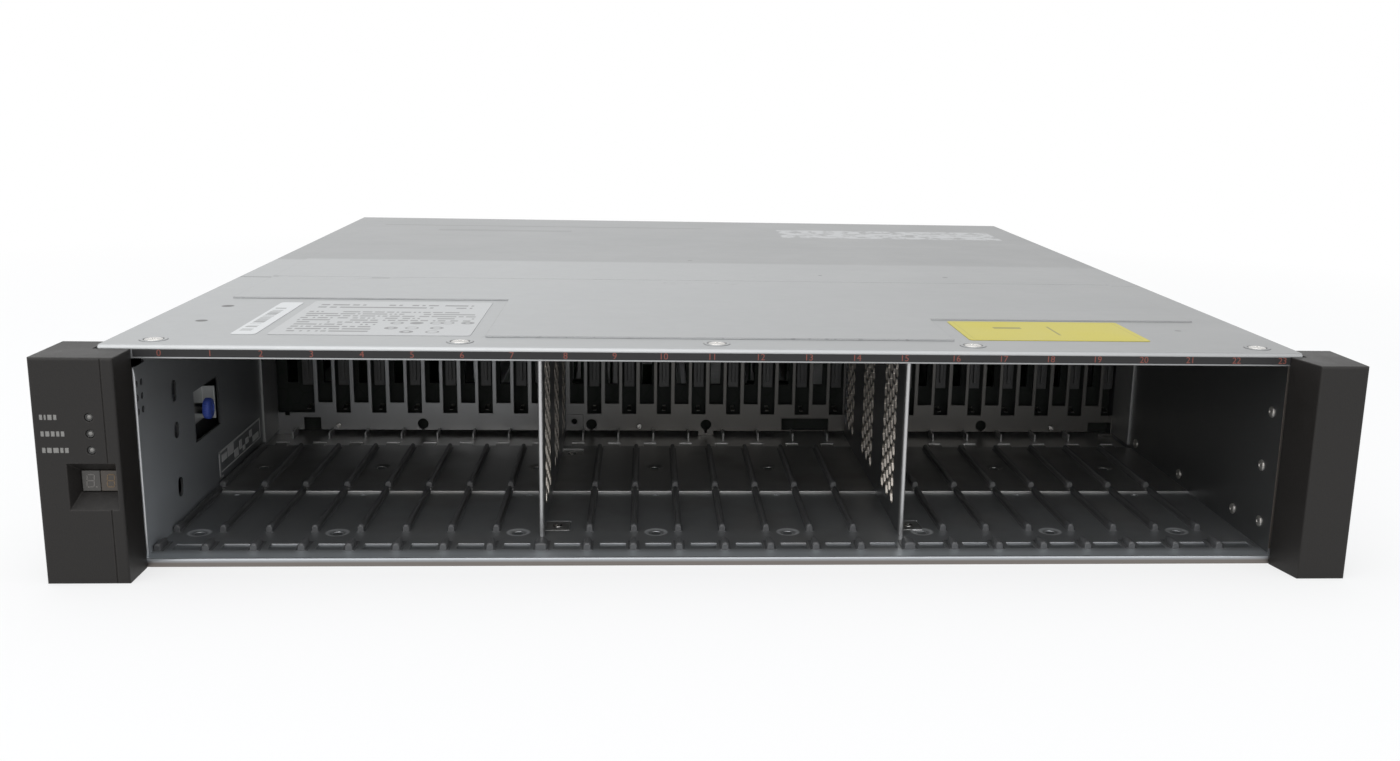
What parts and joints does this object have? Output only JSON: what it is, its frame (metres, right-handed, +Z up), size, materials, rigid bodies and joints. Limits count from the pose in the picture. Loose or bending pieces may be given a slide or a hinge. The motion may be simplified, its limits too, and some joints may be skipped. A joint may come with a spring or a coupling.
{
  "type": "disk shelf enclosure",
  "caption": "Rack disk shelf with an open row of vertical drive bays, perforated dividers, end caps with an operator panel, and slide-out power supplies and I/O modules behind.",
  "frame": {"origin": "middle of the footprint, on the surface that the shelf stands on", "axes": "+X to the right seen from the front, +Y from the front to the rear, +Z up"},
  "size_m": [0.4826, 0.5038, 0.0851],
  "materials": {
    "zinc_steel": "galvanised sheet, satin",
    "cover_steel": "galvanised sheet, lightly scuffed",
    "guide_plastic": "moulded, fine texture",
    "cap_plastic": "textured paint on moulded plastic",
    "circuit_board": "solder mask, semi gloss",
    "connector_black": "moulded",
    "light_lens": "clear moulded lens",
    "display_filter": "tinted filter",
    "button_grey": "moulded",
    "cable_black": "cable jacket",
    "knob_blue": "moulded",
    "screw_steel": "bright zinc plating",
    "paper_white": "printed film",
    "paper_yellow": "printed film",
    "strip_black": "printed film",
    "module_steel": "plated sheet, satin",
    "rotor_black": "moulded",
    "switch_black": "moulded",
    "lever_grey": "powder coat",
    "latch_orange": "moulded",
    "port_steel": "tinned sheet"
  },
  "bodies": {
    "chassis": {"base_pan": "zinc_steel", "left_inner_wall": "zinc_steel", "front_floor_plate": "zinc_steel", "rear_floor_plate": "zinc_steel", "upper_guide_plate": "zinc_steel", "left_divider": "zinc_steel", "right_divider": "zinc_steel", "divider_feet": "zinc_steel", "connector_guide_plate": "zinc_steel", "guide_plate_tabs": "zinc_steel", "module_bay_walls": "zinc_steel", "left_rack_bracket": "zinc_steel", "right_rack_bracket": "zinc_steel", "knob_bracket": "zinc_steel", "front_cover": "cover_steel", "rear_cover": "cover_steel", "lead_in_guides": "guide_plastic", "front_guide_rails": "guide_plastic", "rear_guide_rails": "guide_plastic", "upper_guide_rails": "guide_plastic", "midplane_board": "circuit_board", "operator_panel_board": "circuit_board", "drive_connectors": "connector_black", "module_connectors": "connector_black", "status_lights": "light_lens", "shelf_display": "display_filter", "panel_cable": "cable_black", "cover_screws": "screw_steel", "wall_rivets": "screw_steel", "plate_screws": "screw_steel", "cover_labels": "paper_white", "yellow_label": "paper_yellow", "number_strip": "strip_black"},
    "left_cap": {"left_end_cap": "cap_plastic"},
    "right_cap": {"right_end_cap": "cap_plastic"},
    "id_button": {"shelf_id_button": "button_grey"},
    "thumb_knob": {"knob_shaft": "screw_steel", "knob_head": "knob_blue"},
    "psu_left_unit": {"psu_left_housing": "module_steel", "psu_left_board": "circuit_board", "psu_left_inlet": "connector_black"},
    "psu_left_rotor": {"psu_left_fan": "rotor_black"},
    "psu_left_rocker": {"psu_left_switch": "switch_black"},
    "psu_left_arm": {"psu_left_lever": "lever_grey"},
    "psu_left_catch": {"psu_left_latch": "latch_orange"},
    "io_left_unit": {"io_left_housing": "module_steel", "io_left_board": "circuit_board", "io_left_ports": "port_steel"},
    "io_left_arm": {"io_left_lever": "lever_grey"},
    "psu_right_unit": {"psu_right_housing": "module_steel", "psu_right_board": "circuit_board", "psu_right_inlet": "connector_black"},
    "psu_right_rotor": {"psu_right_fan": "rotor_black"},
    "psu_right_rocker": {"psu_right_switch": "switch_black"},
    "psu_right_arm": {"psu_right_lever": "lever_grey"},
    "psu_right_catch": {"psu_right_latch": "latch_orange"},
    "io_right_unit": {"io_right_housing": "module_steel", "io_right_board": "circuit_board", "io_right_ports": "port_steel"},
    "io_right_arm": {"io_right_lever": "lever_grey"}
  },
  "joints": [
    {"name": "left_cap_pull", "type": "slide", "parent": "chassis", "child": "left_cap", "axis": [0, -1, 0], "range_m": [0, 0.03]},
    {"name": "right_cap_pull", "type": "slide", "parent": "chassis", "child": "right_cap", "axis": [0, -1, 0], "range_m": [0, 0.03]},
    {"name": "id_button_press", "type": "slide", "parent": "chassis", "child": "id_button", "axis": [0, 1, 0], "range_m": [0, 0.001], "stiffness_N_per_m": 300, "springref_m": -0.0005},
    {"name": "thumb_knob_turn", "type": "hinge", "parent": "chassis", "child": "thumb_knob", "pos_m": [-0.2153, -0.14565, 0.0398], "axis": [1, 0, 0], "continuous": true},
    {"name": "psu_left_pull", "type": "slide", "parent": "chassis", "child": "psu_left_unit", "axis": [0, 1, 0], "range_m": [0, 0.2]},
    {"name": "psu_left_fan_spin", "type": "hinge", "parent": "psu_left_unit", "child": "psu_left_rotor", "pos_m": [-0.1885, 0.23285, 0.046], "axis": [0, 1, 0], "continuous": true},
    {"name": "psu_left_switch_rock", "type": "hinge", "parent": "psu_left_unit", "child": "psu_left_rocker", "pos_m": [-0.1465, 0.23985, 0.046], "axis": [1, 0, 0], "range_deg": [0, 16]},
    {"name": "psu_left_lever_swing", "type": "hinge", "parent": "psu_left_unit", "child": "psu_left_arm", "pos_m": [-0.1235, 0.24535, 0.01], "axis": [-1, 0, 0], "range_deg": [0, 80]},
    {"name": "psu_left_latch_slide", "type": "slide", "parent": "psu_left_arm", "child": "psu_left_catch", "axis": [0, 0, -1], "range_m": [0, 0.003], "stiffness_N_per_m": 200, "springref_m": -0.001},
    {"name": "io_left_pull", "type": "slide", "parent": "chassis", "child": "io_left_unit", "axis": [0, 1, 0], "range_m": [0, 0.2]},
    {"name": "io_left_lever_swing", "type": "hinge", "parent": "io_left_unit", "child": "io_left_arm", "pos_m": [-0.1065, 0.24535, 0.05], "axis": [0, 0, 1], "range_deg": [0, 75]},
    {"name": "psu_right_pull", "type": "slide", "parent": "chassis", "child": "psu_right_unit", "axis": [0, 1, 0], "range_m": [0, 0.2]},
    {"name": "psu_right_fan_spin", "type": "hinge", "parent": "psu_right_unit", "child": "psu_right_rotor", "pos_m": [0.1501, 0.23285, 0.046], "axis": [0, 1, 0], "continuous": true},
    {"name": "psu_right_switch_rock", "type": "hinge", "parent": "psu_right_unit", "child": "psu_right_rocker", "pos_m": [0.1921, 0.23985, 0.046], "axis": [1, 0, 0], "range_deg": [0, 16]},
    {"name": "psu_right_lever_swing", "type": "hinge", "parent": "psu_right_unit", "child": "psu_right_arm", "pos_m": [0.2151, 0.24535, 0.01], "axis": [-1, 0, 0], "range_deg": [0, 80]},
    {"name": "psu_right_latch_slide", "type": "slide", "parent": "psu_right_arm", "child": "psu_right_catch", "axis": [0, 0, -1], "range_m": [0, 0.003], "stiffness_N_per_m": 200, "springref_m": -0.001},
    {"name": "io_right_pull", "type": "slide", "parent": "chassis", "child": "io_right_unit", "axis": [0, 1, 0], "range_m": [0, 0.2]},
    {"name": "io_right_lever_swing", "type": "hinge", "parent": "io_right_unit", "child": "io_right_arm", "pos_m": [0.0088, 0.24535, 0.05], "axis": [0, 0, 1], "range_deg": [0, 75]}
  ]
}
